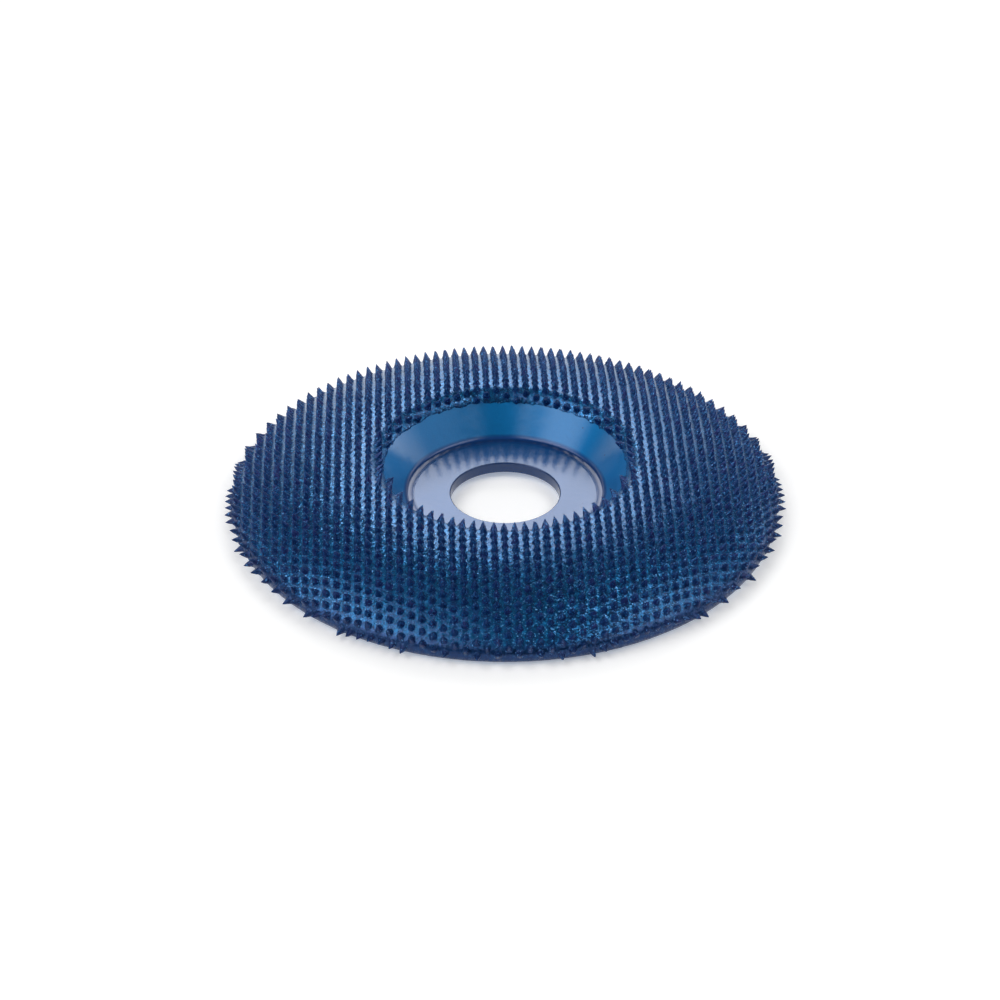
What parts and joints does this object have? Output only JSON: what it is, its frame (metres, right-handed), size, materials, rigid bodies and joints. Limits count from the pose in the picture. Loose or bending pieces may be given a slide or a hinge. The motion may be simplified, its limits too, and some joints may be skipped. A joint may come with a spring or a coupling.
{
  "type": "angle grinder carving disc",
  "caption": "Depressed-centre carving disc for an angle grinder: a lacquered steel body with a central bore and a domed face set with straight rows of sharp carbide teeth.",
  "frame": {"origin": "on the axis of the bore, in the plane that the rim rests on", "axes": "+Z is the axis of the bore and points out of the working face; +Y runs along the rows of teeth, which are turned 1.8 degrees anticlockwise from it seen from above; +X runs across them"},
  "size_m": [0.1142, 0.114, 0.0139],
  "materials": {
    "blue_lacquer": "gloss",
    "lacquered_braze": "satin",
    "lacquered_carbide": "satin"
  },
  "bodies": {
    "root": {"steel_body": "blue_lacquer", "braze_facing": "lacquered_braze", "tooth_rows_01": "lacquered_carbide", "tooth_rows_02": "lacquered_carbide", "tooth_rows_03": "lacquered_carbide", "tooth_rows_04": "lacquered_carbide", "tooth_rows_05": "lacquered_carbide", "tooth_rows_06": "lacquered_carbide", "tooth_rows_07": "lacquered_carbide", "tooth_rows_08": "lacquered_carbide", "tooth_rows_09": "lacquered_carbide", "tooth_rows_10": "lacquered_carbide", "tooth_rows_11": "lacquered_carbide", "tooth_rows_12": "lacquered_carbide", "tooth_rows_13": "lacquered_carbide", "tooth_rows_14": "lacquered_carbide", "tooth_rows_15": "lacquered_carbide", "tooth_rows_16": "lacquered_carbide", "tooth_rows_17": "lacquered_carbide", "tooth_rows_18": "lacquered_carbide", "tooth_rows_19": "lacquered_carbide", "tooth_rows_20": "lacquered_carbide", "tooth_rows_21": "lacquered_carbide", "tooth_rows_22": "lacquered_carbide", "tooth_rows_23": "lacquered_carbide", "tooth_rows_24": "lacquered_carbide", "tooth_rows_25": "lacquered_carbide", "tooth_rows_26": "lacquered_carbide", "tooth_rows_27": "lacquered_carbide", "tooth_rows_28": "lacquered_carbide", "tooth_rows_29": "lacquered_carbide", "tooth_rows_30": "lacquered_carbide", "tooth_rows_31": "lacquered_carbide", "tooth_rows_32": "lacquered_carbide", "tooth_rows_33": "lacquered_carbide", "tooth_rows_34": "lacquered_carbide", "tooth_rows_35": "lacquered_carbide", "tooth_rows_36": "lacquered_carbide", "tooth_rows_37": "lacquered_carbide", "tooth_rows_38": "lacquered_carbide", "tooth_rows_39": "lacquered_carbide", "tooth_rows_40": "lacquered_carbide"}
  },
  "joints": []
}
